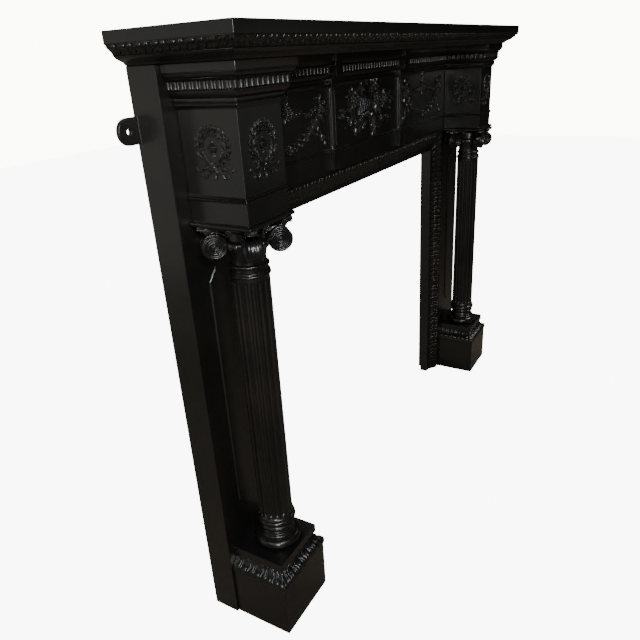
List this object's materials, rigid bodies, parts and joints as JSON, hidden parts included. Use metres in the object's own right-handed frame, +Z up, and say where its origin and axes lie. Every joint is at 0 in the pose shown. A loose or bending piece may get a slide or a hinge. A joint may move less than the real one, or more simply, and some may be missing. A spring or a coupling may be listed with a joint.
{
  "type": "fireplace surround",
  "caption": "Black painted cast-iron fireplace surround with a moulded shelf, carved frieze and end blocks carried by fluted columns on pedestals.",
  "frame": {"origin": "on the floor, midway between the jambs and midway between the wall and the shelf's front edge", "axes": "+X along the shelf to the right, -Y out into the room, +Y to the wall, +Z up"},
  "size_m": [1.5138, 0.24, 1.171],
  "materials": {
    "black_iron": "satin black paint over cast iron, a little worn on the arrises",
    "black_iron_carved": "satin black paint over carved cast iron, polished by handling on the high points"
  },
  "bodies": {
    "root": {"mantel_shelf": "black_iron", "frieze": "black_iron", "end_block_left": "black_iron", "end_block_right": "black_iron", "jamb_left": "black_iron", "jamb_right": "black_iron", "pedestal_left": "black_iron", "pedestal_right": "black_iron", "column_base_left": "black_iron_carved", "column_base_right": "black_iron_carved", "column_shaft_left": "black_iron_carved", "column_shaft_right": "black_iron_carved", "capital_left": "black_iron_carved", "capital_right": "black_iron_carved", "colonnette_left": "black_iron_carved", "colonnette_right": "black_iron_carved"}
  },
  "joints": []
}
